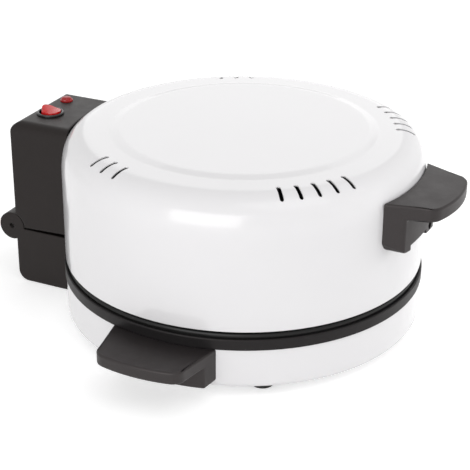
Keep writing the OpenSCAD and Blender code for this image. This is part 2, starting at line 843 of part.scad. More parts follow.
module lid_handle() {
    color([0.15, 0.15, 0.15]) home() difference() {
        rotate([0, 0, 180 + lid_turn]) difference() {
            handle(lid_grip_w, lid_grip_end, lid_grip_reach, lid_bow, lid_grip_z, lid_grip_t, lid_leg_r,
                lid_leg_z, lid_leg_corner);
            grip_slope();
            under_leg();
            translate([0, 0, hand_screw_z]) bar_y(recess_r, lid_leg_r - recess_d, lid_leg_r + cut);
            translate([0, 0, hand_screw_z]) bar_y(bolt_hole, shell_r - cut, lid_leg_r);
        }
        lid_handle_places() rotate([0, 0, 180]) bar_y(handle_screw_r, -cut, lid_screw_l + cut);
    }
}

module lid_handle_screws() {
    color("silver") home() {
        lid_handle_places() rotate([90, 0, 0]) screw(lid_screw_l);
        on_lid_front() translate([0, recess_d - lid_leg_r, hand_screw_z]) rotate([-90, 0, 0]) screw(lid_screw_l, recess_head_r);
    }
}

module lid_handle_nuts() {
    nut_y = sheet_t + fit_gap - shell_r;
    color("silver") home() on_lid_front() translate([0, nut_y, hand_screw_z]) rotate([-90, 0, 0]) difference() {
        cylinder(r = nut_r, h = nut_h, $fn = 6);
        cylinder(r = bolt_r, h = far, center = true);
    }
}

// The upper box's outline seen from the front, with round upper edges, as a block along y.
module top_section(inset) {
    w = box_w - inset;
    r = box_side_r - inset;
    z1 = box_top - inset;
    translate([0, far, 0]) rotate([90, 0, 0]) linear_extrude(far) {
        translate([-w, -cut]) square([2 * w, z1 - r + cut]);
        translate([-w + r, 0]) square([2 * w - 2 * r, z1]);
        for (s = [-1, 1]) translate([s * (w - r), z1 - r]) circle(r = r);
    }
}

module rear_box_upper() {
    floor_z = split_high + wedge_rise + box_t;
    end_w = barrel_w - 0.4;
    color([0.15, 0.14, 0.14]) home() difference() {
        union() {
            difference() {
                intersection() {
                    box_block(split_high, box_top, 0, 0, box_corner_r);
                    top_section(0);
                }
                difference() {
                    intersection() {
                        box_block(floor_z, box_top - box_t, box_t, 0, box_corner_r - box_t);
                        top_section(box_t);
                    }
                    on_pin() bar_x(seat_r + box_t, -box_w, box_w);
                    upper_box_places() bar_y(boss_side_r, -10, box_y);
                }
            }
            on_pin() bar_x(knuckle_r, -end_w, end_w);
        }
        rotate([90, 0, 90]) translate([0, 0, -far / 2]) linear_extrude(far) {
            polygon([[shell_r - 31, 0], [shell_r - 31, split_high + wedge_rise * 1.2], [box_y - 10, split_high],
                [box_y - 10, 0]]);
        }
        for (s = [0, 1]) mirror([s, 0, 0]) on_pin() bar_x(seat_r, end_w, box_w + cut);
        on_pin() bar_x(pin_r + pin_gap, -box_w, box_w);
        round_pin_arc(stop_a - stop_gap, stop_span + 2 * stop_gap + open_max, knuckle_r - stop_depth,
            seat_r + cut, stop_w + 1);
        disc(shell_r + fit_gap, 0, far);
        upper_box_places() bar_y(handle_screw_r, -cut, box_screw_l + cut);
        translate([switch_x, switch_y, box_top - 2 * box_t]) cylinder(r = housing_r + fit_gap, h = far);
        translate([lamp_x, lamp_y, box_top - 2 * box_t]) cylinder(r = lamp_stem_r + fit_gap, h = far);
        translate([0, lead_hole_y, split_high]) cylinder(r = lead_hole_r, h = 8 * box_t, center = true);
    }
}

module lid_box_screws() {
    color("silver") home() upper_box_places() rotate([-90, 0, 0]) screw(box_screw_l);
}

// Places a piece on the switch's upright axis, or on the rocker's pivot in it.
module at_switch(z) {
    translate([switch_x, switch_y, z]) children();
}

module switch_housing() {
    rim = 0.8;
    color([0.06, 0.06, 0.06]) home() difference() {
        at_switch(0) {
            disc(housing_r, box_top - housing_h, box_top + rim);
            disc(bezel_r, box_top, box_top + bezel_h - rim);
            translate([0, 0, box_top + bezel_h - rim]) cylinder(r1 = bezel_r, r2 = bezel_r - rim, h = rim);
        }
        at_switch(0) disc(bezel_in, box_top - housing_h + 2, far);
        at_switch(rocker_pivot) bar_x(trunnion_r + pin_gap, -trunnion_l - 0.1, trunnion_l + 0.1);
        at_switch(0) for (s = [-1, 1]) translate([s * 4 - 0.4, -3, 0]) cube([0.8, 6, far]);
    }
}

module switch_terminals() {
    color("goldenrod") home() at_switch(box_top - housing_h - 7) {
        for (s = [-1, 1]) translate([s * 4 - 0.4, -3, 0]) cube([0.8, 6, 9]);
    }
}

module switch_rocker() {
    dish_r = (pow(rocker_r, 2) + pow(rocker_dish, 2)) / (2 * rocker_dish);
    color([0.72, 0.08, 0.08]) home() at_switch(rocker_pivot) rotate([rocker_tip, 0, 0]) {
        difference() {
            intersection() {
                disc(rocker_r, -3, rocker_end);
                translate([-rocker_side, -far, -far]) cube([2 * rocker_side, 2 * far, 2 * far]);
            }
            translate([0, 0, rocker_end - rocker_dish + dish_r]) bar_x(dish_r, -far, far);
        }
        bar_x(trunnion_r, -trunnion_l, trunnion_l);
    }
}

module indicator_lamp() {
    color([0.72, 0.08, 0.08]) home() translate([lamp_x, lamp_y, box_top]) {
        cylinder(r = lamp_r, h = 1.2);
        translate([0, 0, 1.2]) cylinder(r1 = lamp_r - 0.2, r2 = lamp_r - 1.2, h = 1.8, $fn = 16);
        translate([0, 0, 3]) cylinder(r1 = lamp_r - 1.2, r2 = lamp_r - 3.4, h = 1, $fn = 16);
        translate([0, 0, -box_t]) cylinder(r = lamp_stem_r - 1, h = box_t + cut);
    }
}

module lamp_holder() {
    color([0.12, 0.12, 0.12]) home() translate([lamp_x, lamp_y, box_top - box_t - 12]) difference() {
        union() {
            cylinder(r = lamp_stem_r, h = 12 + box_t);
            translate([0, 0, 9]) cylinder(r = lamp_r + 1, h = 3);
        }
        translate([0, 0, 12]) cylinder(r = lamp_stem_r - 1, h = far);
    }
}

module lid_leads() {
    start_y = upper_pin_y + pin_l + 1.2;
    blade_z = box_top - housing_h - 7.5;
    end_z = split_high + wedge_rise + 0.5;
    mid_z = lid_z + 58;
    color("tomato") home() {
        wire([[-lead_x, start_y, upper_heater_z], [-lead_x, start_y + 3.8, upper_heater_z - 5],
            [switch_x - 4, start_y + 7.3, blade_z - 8], [switch_x - 4, switch_y, blade_z]], lead_r);
        wire([[lead_x, start_y, upper_heater_z], [lead_x, start_y + 2.8, mid_z], [8, start_y + 2.8, mid_z - 18],
            [3, lead_hole_y, end_z]], lead_r);
        wire([[switch_x + 4, switch_y, blade_z], [-6, switch_y - 3.7, mid_z], [-4, switch_y - 6.7, mid_z - 28],
            [-3, lead_hole_y, end_z]], lead_r);
        wire([[lamp_x, lamp_y, box_top - box_t - 12.5], [20, lamp_y - 3.7, mid_z],
            [0, lead_hole_y + 4.2, mid_z - 43], [0, lead_hole_y + 3.6, end_z]], lead_r);
    }
}

base_shell();
bottom_cover();
feet();
foot_screws();
trim_ring();
baking_plate();
lower_heater();
heater_press_plate();
heat_shield();
tie_spacers();
tie_bolts();
thermostat();
handle_left();
handle_right();
base_handle_screws();
rear_box_lower();
rear_box_screws();
terminal_block();
power_inlet();
inlet_pins();
base_leads();
hinge_pin();
lid_shell();
lid_brackets();
lid_reflector();
reflector_rivets();
upper_heater();
heater_clips();
lid_handle();
lid_handle_screws();
lid_handle_nuts();
rear_box_upper();
lid_box_screws();
switch_housing();
switch_terminals();
indicator_lamp();
lamp_holder();
lid_leads();
switch_rocker();
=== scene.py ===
from math import atan2, cos, degrees, hypot, pi, radians, sin, sqrt, tan

import bpy
from mathutils import Matrix, Vector


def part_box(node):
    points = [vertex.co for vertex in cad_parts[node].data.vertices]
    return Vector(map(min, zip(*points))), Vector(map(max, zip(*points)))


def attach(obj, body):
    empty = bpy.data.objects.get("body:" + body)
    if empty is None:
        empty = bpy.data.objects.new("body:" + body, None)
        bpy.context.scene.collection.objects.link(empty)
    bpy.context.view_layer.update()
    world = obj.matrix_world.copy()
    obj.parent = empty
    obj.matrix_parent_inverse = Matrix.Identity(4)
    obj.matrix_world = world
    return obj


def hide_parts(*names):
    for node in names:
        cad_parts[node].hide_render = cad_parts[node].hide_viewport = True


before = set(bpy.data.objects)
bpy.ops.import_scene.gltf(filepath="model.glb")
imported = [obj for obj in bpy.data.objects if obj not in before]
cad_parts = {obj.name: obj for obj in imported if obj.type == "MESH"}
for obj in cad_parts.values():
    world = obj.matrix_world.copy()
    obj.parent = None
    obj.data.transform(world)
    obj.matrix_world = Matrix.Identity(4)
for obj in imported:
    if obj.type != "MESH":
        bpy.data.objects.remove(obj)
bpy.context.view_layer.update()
bpy.ops.object.select_all(action="DESELECT")

# The camera stands left of the cooker and well above the worktop, with a long lens, so that the
# lid's round top shows nearly as wide as it is. It looks at a point close to the pan's middle.
look_az = radians(-64.681)
look_el = radians(25.403)
look_roll = radians(0.384)
look_at = Vector((-0.00324, -0.00924, 0.0713))
camera_distance = 1.26165
back = Vector((sin(look_az) * cos(look_el), -cos(look_az) * cos(look_el), sin(look_el)))
level = Vector((0, 0, 1)).cross(back).normalized()
upward = back.cross(level)
right = cos(look_roll) * level + sin(look_roll) * upward
up = -sin(look_roll) * level + cos(look_roll) * upward
bpy.ops.object.camera_add(
    location=look_at + camera_distance * back,
    rotation=Matrix((right, up, back)).transposed().to_euler())
camera = bpy.context.object
camera.data.lens = 106.95
camera.data.clip_start = 0.05
camera.data.clip_end = 20
bpy.context.scene.camera = camera


# The underside: a zinc-plated disc with cooling slots closes the pan. It is pressed from sheet
# and held by the four foot screws.
class Paint:
    """A value in a finish's nodes: a sum on it adds its Math node to the same finish."""

    def __init__(self, tree, socket=None):
        self.tree = tree
        self.socket = socket

    def node(self, kind, settings=None, inputs=None, output=0):
        """Adds a node: first its settings, then the values or links of its sockets."""
        made = self.tree.nodes.new("ShaderNode" + kind)
        for name, value in (settings or {}).items():
            if name == "stops":
                stops = made.color_ramp.elements
                stops.remove(stops[1])
                stops[0].position, stops[0].color = value[0]
                for place, colour in value[1:]:
                    stops.new(place).color = colour
            else:
                setattr(made, name, value)
        for name, value in (inputs or {}).items():
            if isinstance(value, Paint):
                self.tree.links.new(value.socket, made.inputs[name])
            else:
                made.inputs[name].default_value = value
        return Paint(self.tree, made.outputs[output])

    def sum(self, operation, *values):
        return self.node("Math", {"operation": operation}, dict(enumerate(values)))

    def __add__(self, other):
        return self.sum("ADD", self, other)

    def __radd__(self, other):
        return self.sum("ADD", other, self)

    def __mul__(self, other):
        return self.sum("MULTIPLY", self, other)

    def __rmul__(self, other):
        return self.sum("MULTIPLY", other, self)


def new_finish(name, **fixed):
    """A finish with its shader's plain values, and the paint that adds nodes to it."""
    made = bpy.data.materials.new(name)
    made.use_nodes = True
    shader = made.node_tree.nodes["Principled BSDF"]
    for socket, value in fixed.items():
        shader.inputs[socket.replace("_", " ")].default_value = value
    return made, Paint(made.node_tree), shader


def lay_on(paint, shader, **sockets):
    """Links what varies over a surface to the shader's own sockets."""
    for socket, value in sockets.items():
        paint.tree.links.new(value.socket, shader.inputs[socket.replace("_", " ")])


def grain(paint, size_mm, detail=2.0, rough=0.5, stretch=None):
    """Noise whose blotches are about that many millimetres across, on the piece's own coordinates."""
    place = paint.node("TexCoord", output=3)
    if stretch:
        place = paint.node("Mapping", {}, {"Vector": place, "Scale": stretch})
    return paint.node("TexNoise", {}, {
        "Vector": place, "Scale": 1000 / size_mm, "Detail": detail, "Roughness": rough})


def blend_of(paint, share, dark, light):
    """A colour between two, by a share from 0 to 1."""
    return paint.node("Mix", {"data_type": "RGBA"}, {0: share, 6: (*dark, 1), 7: (*light, 1)}, output=2)


def dimple(paint, height, depth_mm, strength=1.0, edge_mm=0.3):
    """A bump of that depth where the height goes from 0 to 1, on edges that are a little rounded."""
    edge = paint.node("Bevel", {"samples": 6}, {"Radius": edge_mm / 1000})
    return paint.node("Bump", {}, {
        "Height": height, "Distance": depth_mm / 1000, "Strength": strength, "Normal": edge})


def dress(finish, *nodes):
    """Gives CAD nodes their finish in place of the plain one."""
    for node in nodes:
        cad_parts[node].data.materials.clear()
        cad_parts[node].data.materials.append(finish)


zinc_steel, paint, shader = new_finish("zinc_steel", Metallic=1.0)
cloud = grain(paint, 9, 3, 0.6)
lay_on(paint, shader,
       Base_Color=blend_of(paint, cloud, (0.40, 0.41, 0.42), (0.58, 0.585, 0.57)),
       Roughness=0.30 + cloud * 0.22,
       Normal=dimple(paint, grain(paint, 0.8, 2), 0.02, 0.5))
dress(zinc_steel, "bottom_cover", "heater_press_plate", "lid_brackets", "heater_clips", "tie_spacers")

# The pan's body is deep-drawn steel sheet with white stove enamel: a thick glossy coat with the
# faint waviness of fired glass. Its flange and its lip are hidden by the ring and the cover.
white_enamel, paint, shader = new_finish(
    "white_enamel", IOR=1.5, Coat_Weight=0.5, Coat_Roughness=0.04)
wave = grain(paint, 7, 1.5, 0.4)
tone = grain(paint, 60, 2)
lay_on(paint, shader,
       Base_Color=blend_of(paint, tone, (0.818, 0.808, 0.822), (0.838, 0.828, 0.836)),
       Roughness=0.16 + grain(paint, 3, 3) * 0.08,
       Normal=dimple(paint, wave, 0.03, 0.25, 0.6))
dress(white_enamel, "base_shell")

# The lid is drawn from the same sheet: a straight wall with a rolled hem, a round shoulder, a low
# pressed step on its top, and groups of pierced slots that let the steam out.
pan_low, pan_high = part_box("lid_shell")
pan_y = (pan_low[1] + pan_high[1]) / 2
pan_axis = Vector((0, pan_y, 0))


def rounded(corners, steps=6):
    """A path through corners (x, y, radius), each rounded by its radius."""
    path = []
    for n, (x, y, radius) in enumerate(corners):
        here = Vector((x, y))
        if not radius or n in (0, len(corners) - 1):
            path.append(here)
            continue
        before = (Vector(corners[n - 1][:2]) - here).normalized()
        after = (Vector(corners[n + 1][:2]) - here).normalized()
        half = before.angle(after) / 2
        middle = here + (before + after).normalized() * (radius / sin(half))
        start = here + before * (radius / tan(half)) - middle
        turn = start.angle_signed(here + after * (radius / tan(half)) - middle)
        for k in range(steps + 1):
            a = -turn * k / steps
            turned_x = start.x * cos(a) - start.y * sin(a)
            turned_y = start.x * sin(a) + start.y * cos(a)
            path.append(middle + Vector((turned_x, turned_y)))
    return path


def arc(x, y, radius, start, end, steps):
    """Points on an arc, by angles in degrees."""
    angles = [radians(start + (end - start) * k / steps) for k in range(steps + 1)]
    return [Vector((x + radius * cos(a), y + radius * sin(a))) for a in angles]


def drawn(name, points):
    """A line through the points, in millimetres, extruded from one vertex and left in edit mode."""
    bpy.ops.object.select_all(action="DESELECT")
    bpy.ops.mesh.primitive_plane_add(size=0.001)
    made = bpy.context.object
    made.name = made.data.name = name
    bpy.ops.object.mode_set(mode="EDIT")
    bpy.ops.mesh.select_all(action="SELECT")
    bpy.ops.mesh.merge(type="CENTER")
    at = Vector(points[0]) / 1000
    bpy.ops.transform.translate(value=at)
    for point in points[1:]:
        bpy.ops.mesh.extrude_vertices_move(TRANSFORM_OT_translate={"value": Vector(point) / 1000 - at})
        at = Vector(point) / 1000
    return made


def closed_up(made, smooth=40):
    """Merges what meets, turns the faces outwards and shades them smooth up to an angle."""
    bpy.ops.mesh.select_all(action="SELECT")
    bpy.ops.mesh.remove_doubles(threshold=0.000002)
    bpy.ops.mesh.normals_make_consistent(inside=False)
    bpy.ops.object.mode_set(mode="OBJECT")
    bpy.ops.object.shade_smooth_by_angle(angle=radians(smooth))
    return made


def turned(name, profile, steps, centre=pan_axis, axis=(0, 0, 1), smooth=40):
    """A round piece: its profile of (radius, height) in millimetres is spun about the axis."""
    side = Vector((0, 0, 1)) if axis[2] == 0 else Vector((1, 0, 0))
    base = centre * 1000
    made = drawn(name, [base + p[0] * side + p[1] * Vector(axis) for p in profile])
    bpy.ops.mesh.select_all(action="SELECT")
    bpy.ops.mesh.spin(steps=steps, angle=2 * pi, center=centre, axis=axis)
    return closed_up(made, smooth)


def finished(made, body, slot, finish, *nodes):
    """Gives a piece its finish and its body, and hides the CAD nodes that it stands for. The slot is not used."""
    made.data.materials.clear()
    made.data.materials.append(finish)
    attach(made, body)
    if nodes:
        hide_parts(*nodes)


def alone(made):
    """Makes one piece the only selected and active one."""
    bpy.ops.object.select_all(action="DESELECT")
    made.select_set(True)
    bpy.context.view_layer.objects.active = made


def cut(made, tools):
    """Cuts the tools out of a piece and clears them away."""
    for tool in tools:
        alone(made)
        change = made.modifiers.new("cut", "BOOLEAN")
        change.operation, change.solver, change.object = "DIFFERENCE", "EXACT", tool
        bpy.ops.object.modifier_apply(modifier="cut")
        bpy.data.objects.remove(tool)


def block(name, outline, low, high):
    """A flat outline in millimetres about the pan's axis, filled and extruded up between two heights."""
    made = drawn(name, [(p[0], p[1] + pan_y * 1000, low) for p in outline])
    bpy.ops.mesh.select_all(action="SELECT")
    bpy.ops.mesh.edge_face_add()
    bpy.ops.mesh.extrude_region_move(TRANSFORM_OT_translate={"value": (0, 0, (high - low) / 1000)})
    return closed_up(made)


def turned_by(made, angle):
    """Turns a piece about the pan's axis, by an angle in degrees."""
    alone(made)
    bpy.ops.object.mode_set(mode="EDIT")
    bpy.ops.mesh.select_all(action="SELECT")
    bpy.ops.transform.rotate(value=-radians(angle), orient_axis="Z", center_override=pan_axis)
    bpy.ops.object.mode_set(mode="OBJECT")


lid_r, sheet, lid_z, wall_top, lid_top = 160, 1.2, 60.0, 140.7, 177.1
big_r, small_r, small_x, small_z, lean = 68, 25.4, 133.68, 149.5, 11.92
shoulder_top, top_slope = 174.9, 0.032
step_foot = [(117.3, 175.42, 18), (109, lid_top, 18)]
slot_in, slot_in_r, slot_out, slot_out_r, slot_pitch = 133.8, 2.1, 147.3, 1.7, 6.2
slot_groups = ((-131, 5), (-53, 5), (28.5, 3), (153, 3))
slot_low, slot_high = 160, 190


def lid_side(inset):
    """The lid's profile from its wall up to its middle, drawn in by the inset."""
    path = [Vector((lid_r - inset, z)) for z in (75, 95, 115, 130)]
    path += arc(lid_r - big_r, wall_top, big_r - inset, 0, lean, 4)
    path += arc(small_x, small_z, small_r - inset, lean, 90, 26)[1:]
    path += [Vector((x, shoulder_top + (small_x - x) * top_slope - inset)) for x in (131, 128, 124.5)]
    path += [p - Vector((0, inset)) for p in rounded([(121, 175.306, 0), *step_foot, (104, lid_top, 0)], 6)]
    return path + [Vector((x, lid_top - inset)) for x in (80, 40, 0)]


hem = arc(lid_r - sheet, lid_z + sheet, sheet, 0, -270, 14)
profile = lid_side(0)[::-1] + hem + lid_side(sheet)
lid = turned("enamelled_lid", profile, 360, smooth=35)
slot_shape = arc(slot_in, 0, slot_in_r, 55, 305, 10) + arc(slot_out, 0, slot_out_r, -90, 90, 8)
slots = []
for middle, count in slot_groups:
    for n in range(count):
        slot = block("slot_tool", slot_shape, slot_low, slot_high)
        turned_by(slot, middle + (n - (count - 1) / 2) * slot_pitch)
        slots.append(slot)
alone(slots[0])
for slot in slots:
    slot.select_set(True)
bpy.ops.object.join()
cut(lid, [slots[0]])
alone(lid)
bpy.ops.object.shade_smooth_by_angle(angle=radians(35))
finished(lid, "lid", "white_enamel", white_enamel, "lid_shell")

# Black mouldings in a heat-proof compound with a fine spark-eroded grain. First the ring, which
# hides the pan's flange, and the rear box, whose halves meet at the hinge.
def black_finish(name, edge_mm, ior, dark, light):
    """One press's black: its edge rounding, its gloss, and the two shades of its specks."""
    finish, paint, shader = new_finish(name, IOR=ior, Specular_Tint=(1.0, 0.93, 0.92, 1.0))
    fine = grain(paint, 0.45, 3, 0.6)
    speck = grain(paint, 1.4, 4, 0.7)
    rubbed = grain(paint, 18, 4, 0.6)
    lay_on(paint, shader,
           Base_Color=blend_of(paint, speck, dark, light),
           Roughness=0.28 + rubbed * 0.24 + speck * 0.10,
           Normal=dimple(paint, fine, 0.05, 0.35, edge_mm))
    return finish


black_moulding = black_finish("black_moulding", 0.5, 1.48, (0.009, 0.0074, 0.0075), (0.022, 0.0186, 0.0192))
# The rear box takes a darker copy of the handles' black. The darker colour is painted shade for its sides, which
# face away from the light.
box_black_with_painted_shade = black_finish("box_black_with_painted_shade", 2.6, 1.36, (0.0040, 0.0027, 0.0024), (0.0105, 0.0078, 0.0070))
# The ring takes a darker copy of the same black too. The darker colour is painted shade for its front, which faces
# away from the light.
ring_black_with_painted_shade = black_finish("ring_black_with_painted_shade", 0.7, 1.33, (0.0036, 0.0033, 0.0036), (0.0110, 0.0102, 0.0108))
dress(ring_black_with_painted_shade, "trim_ring")
dress(box_black_with_painted_shade, "rear_box_lower", "rear_box_upper")


# The base's two ledge handles: a flat grip with a bowed edge, on a leg that follows the pan's wall
# and is screwed to it from inside. Both come out of one mould.
def ledge(name, half_w, end_w, reach, bow, corner, top, thick, fall, leg_r, leg_low, leg_corner, angle, edge):
    """A handle in millimetres, drawn pointing to +Y, then turned round the pan to its angle."""
    wall_r = lid_r + 0.1
    root_y = lid_r - 15
    bow_r = ((end_w - corner / 2) ** 2 + bow ** 2) / (2 * bow)
    bow_y = reach - bow_r
    turn_x = end_w - corner
    turn_y = bow_y + sqrt((bow_r - corner) ** 2 - turn_x ** 2)
    lean = (half_w - end_w) / (turn_y - root_y)

    def side_x(radius):
        """Half of the handle's width where its side meets a circle about the pan."""
        x = half_w
        for _ in range(20):
            x = half_w - (sqrt(radius ** 2 - x ** 2) - root_y) * lean
        return x

    start = degrees(atan2(turn_y - bow_y, turn_x))
    rim = arc(turn_x, turn_y, corner, 0, start, 6) + arc(0, bow_y, bow_r, start, 90, 12)[1:]
    rim = [Vector((-p.x, p.y)) for p in rim[:-1]] + rim[::-1]
    shares = [0.0]
    for p, q in zip(rim, rim[1:]):
        shares.append(shares[-1] + hypot(q.x - p.x, q.y - p.y))
    rows = []
    for radius in (wall_r, leg_r):
        wide = side_x(radius)
        row = [wide * (2 * k / shares[-1] - 1) for k in shares]
        rows.append([Vector((x, sqrt(radius ** 2 - x ** 2))) for x in row])
    rows.append([p.lerp(q, 0.5) for p, q in zip(rows[1], rim)])
    rows.append(rim)
    bpy.ops.object.select_all(action="DESELECT")
    bpy.ops.mesh.primitive_grid_add(x_subdivisions=len(rim) - 1, y_subdivisions=3, size=1)
    made = bpy.context.object
    made.name = made.data.name = name
    columns = len(rim)
    for n, vertex in enumerate(made.data.vertices):
        p = rows[n // columns][n % columns]
        vertex.co = (p.x / 1000, p.y / 1000 + pan_y, (top - thick) / 1000)
    strip = {face.index for face in made.data.polygons if max(face.vertices) < 2 * columns}
    middles = [made.data.polygons[n].center.copy() for n in strip]
    bpy.ops.object.mode_set(mode="EDIT")
    bpy.ops.mesh.select_all(action="SELECT")
    bpy.ops.mesh.extrude_region_move(TRANSFORM_OT_translate={"value": (0, 0, thick / 1000)})
    bpy.ops.mesh.select_all(action="DESELECT")
    bpy.ops.object.mode_set(mode="OBJECT")
    for face in made.data.polygons:
        face.select = any((face.center - p).length < 0.00001 for p in middles)
    bpy.ops.object.mode_set(mode="EDIT")
    bpy.ops.mesh.select_mode(type="FACE")
    bpy.ops.mesh.extrude_region_move(TRANSFORM_OT_translate={"value": (0, 0, (leg_low - top + thick) / 1000)})
    bpy.ops.mesh.select_mode(type="VERT")
    bpy.ops.object.mode_set(mode="OBJECT")
    wide = half_w - 2
    for vertex in made.data.vertices:
        across, height = vertex.co.x * 1000, vertex.co.z * 1000
        if height > top - 0.01:
            vertex.co.z -= fall * max(0, (vertex.co.y - pan_y) * 1000 - lid_r) / (reach - lid_r) / 1000
        elif height < leg_low + 0.01:
            past = max(0, abs(across) - (wide - leg_corner))
            vertex.co.z += (leg_corner - sqrt(max(0, leg_corner ** 2 - past ** 2))) / 1000
    alone(made)
    bpy.ops.object.mode_set(mode="EDIT")
    closed_up(made)
    bpy.ops.object.mode_set(mode="EDIT")
    bpy.ops.mesh.select_mode(type="EDGE")
    bpy.ops.mesh.select_all(action="DESELECT")
    bpy.ops.mesh.edges_select_sharp(sharpness=radians(38))
    bpy.ops.object.mode_set(mode="OBJECT")
    at_wall = [hypot(v.co.x, v.co.y - pan_y) * 1000 < wall_r + 0.2 for v in made.data.vertices]
    for line in made.data.edges:
        if at_wall[line.vertices[0]] and at_wall[line.vertices[1]]:
            line.select = False
    bpy.ops.object.mode_set(mode="EDIT")
    bpy.ops.mesh.bevel(offset=edge / 1000, segments=3, affect="EDGES", clamp_overlap=False)
    bpy.ops.mesh.select_mode(type="VERT")
    closed_up(made, 50)
    turned_by(made, angle)
    return made


for name, angle in (("handle_left", 90), ("handle_right", -90)):
    grip = ledge(
        name + "_grip", half_w=49, end_w=40, reach=205.7, bow=4.1, corner=11.5, top=43.9, thick=11, fall=0,
        leg_r=173.5, leg_low=13.5, leg_corner=1.5, angle=angle, edge=1.6)
    finished(grip, "base", "black_moulding", black_moulding, name)

# The lid's handle is a wider ledge of the same kind. Its leg is open below, between two feet and a
# boss in the middle, whose screw sits in a recess.
lid_grip_turn = -2
lid_grip = ledge(
    "lid_handle_grip", half_w=52.5, end_w=39.5, reach=199.5, bow=5.6, corner=12, top=153.7, thick=13.4, fall=1.9,
    leg_r=175, leg_low=109.5, leg_corner=12, angle=180, edge=1.6)
below, foot_in, boss_side, boss_low = 100, 34.5, 8, 115.5
foot_top, opening_top = 115, 119.3
notches = [[(side * x, z) for x, z in (
    (boss_side, below), (foot_in, below), (foot_in, foot_top), (boss_side, opening_top))] for side in (-1, 1)]
under_boss = boss_side + 1
cut_from, cut_depth = 140, 60
notches.append([(-under_boss, below), (under_boss, below), (under_boss, boss_low), (-under_boss, boss_low)])
for notch in notches:
    under = drawn("under_tool", [(x, pan_y * 1000 - cut_from, z) for x, z in notch])
    bpy.ops.mesh.select_all(action="SELECT")
    bpy.ops.mesh.edge_face_add()
    bpy.ops.mesh.extrude_region_move(TRANSFORM_OT_translate={"value": (0, -cut_depth / 1000, 0)})
    cut(lid_grip, [closed_up(under)])
recess_r, recess_floor, recess_mouth = 3.5, 168.5, 180
recess_at = Vector((0, pan_y, 0.1201))
cut(lid_grip, [turned(
    "recess_tool", [(0, recess_floor), (recess_r, recess_floor), (recess_r, recess_mouth), (0, recess_mouth)],
    32, recess_at, (0, -1, 0))])
alone(lid_grip)
bpy.ops.object.shade_smooth_by_angle(angle=radians(50))
turned_by(lid_grip, lid_grip_turn)
finished(lid_grip, "lid", "black_moulding", black_moulding, "lid_handle")

# The baking plate is cast, turned on its face and rim, and sprayed with a black non-stick coat
# that has fine pale flecks.
nonstick_plate, paint, shader = new_finish("nonstick_plate", IOR=1.36)
fleck = grain(paint, 0.9, 4, 0.75)
pale = paint.node("MapRange", {}, {"Value": fleck, "From Min": 0.62, "From Max": 0.72})
lay_on(paint, shader,
       Base_Color=blend_of(paint, pale, (0.005, 0.005, 0.005), (0.035, 0.035, 0.035)),
       Roughness=0.24 + grain(paint, 6, 3) * 0.16,
       Normal=dimple(paint, fleck, 0.04, 0.4))
dress(nonstick_plate, "baking_plate")

# The heating tubes are steel sheaths bent to a ring. They have browned and blued in their first
# firing.
heater_sheath, paint, shader = new_finish("heater_sheath", Metallic=1.0)
heat = grain(paint, 22, 3, 0.6)
tint = paint.node("ValToRGB", {"stops": [
    (0.30, (0.10, 0.10, 0.12, 1)), (0.48, (0.17, 0.14, 0.12, 1)), (0.62, (0.13, 0.12, 0.16, 1)),
    (0.75, (0.20, 0.17, 0.13, 1))]}, {"Fac": heat})
lay_on(paint, shader, Base_Color=tint, Roughness=0.35 + grain(paint, 1.5, 4) * 0.3,
       Normal=dimple(paint, grain(paint, 0.6, 3), 0.03, 0.5))
dress(heater_sheath, "lower_heater", "upper_heater")

# The reflectors under the lower ring and over the upper one are pressed from aluminised sheet,
# which keeps its rolling grain.
bright_shield, paint, shader = new_finish("bright_shield", Metallic=1.0)
rolled = grain(paint, 3, 3, 0.6, (1, 0.04, 1))
lay_on(paint, shader,
       Base_Color=blend_of(paint, rolled, (0.50, 0.50, 0.49), (0.66, 0.66, 0.65)),
       Roughness=0.30 + rolled * 0.25,
       Normal=dimple(paint, rolled, 0.01, 0.4))
dress(bright_shield, "heat_shield", "lid_reflector")

# The four feet are moulded in black rubber, a little dusty, and each is held by a screw through
# the pan's lip and the bottom cover.
foot_rubber, paint, shader = new_finish("foot_rubber", IOR=1.45)
dust = grain(paint, 4, 4, 0.7)
lay_on(paint, shader,
       Base_Color=blend_of(paint, dust, (0.012, 0.012, 0.012), (0.040, 0.039, 0.038)),
       Roughness=0.68 + dust * 0.2,
       Normal=dimple(paint, grain(paint, 0.7, 3), 0.05, 0.5))
dress(foot_rubber, "feet")

# Screws, nuts and rivets are plated steel, with a satin shine that is rubbed in places. The hinge
# pin further down has the same finish.
screw_steel, paint, shader = new_finish("screw_steel", Metallic=1.0)
rub = grain(paint, 1.2, 4, 0.7)
lay_on(paint, shader,
       Base_Color=blend_of(paint, rub, (0.45, 0.45, 0.44), (0.68, 0.68, 0.67)),
       Roughness=0.22 + rub * 0.25,
       Normal=dimple(paint, grain(paint, 0.4, 2), 0.01, 0.5))
dress(screw_steel, "foot_screws", "tie_bolts", "base_handle_screws", "rear_box_screws",
      "reflector_rivets", "lid_handle_screws", "lid_handle_nuts", "lid_box_screws")

# The inlet's three pins and the switch's two blades are cut from brass, which has tarnished in
# clouds.
brass_parts, paint, shader = new_finish("brass_parts", Metallic=1.0)
tarnish = grain(paint, 2, 4, 0.6)
lay_on(paint, shader,
       Base_Color=blend_of(paint, tarnish, (0.50, 0.36, 0.13), (0.76, 0.62, 0.30)),
       Roughness=0.22 + tarnish * 0.22)
dress(brass_parts, "inlet_pins", "switch_terminals")

# The thermostat's body and the terminal block are fired ceramic, glazed off white, as parts that
# stand close to the heat are.
ceramic, paint, shader = new_finish("ceramic", IOR=1.5, Coat_Weight=0.4)
fired = grain(paint, 3, 3)
lay_on(paint, shader,
       Base_Color=blend_of(paint, fired, (0.62, 0.57, 0.46), (0.76, 0.72, 0.62)),
       Roughness=0.25 + fired * 0.2)
dress(ceramic, "thermostat", "terminal_block")

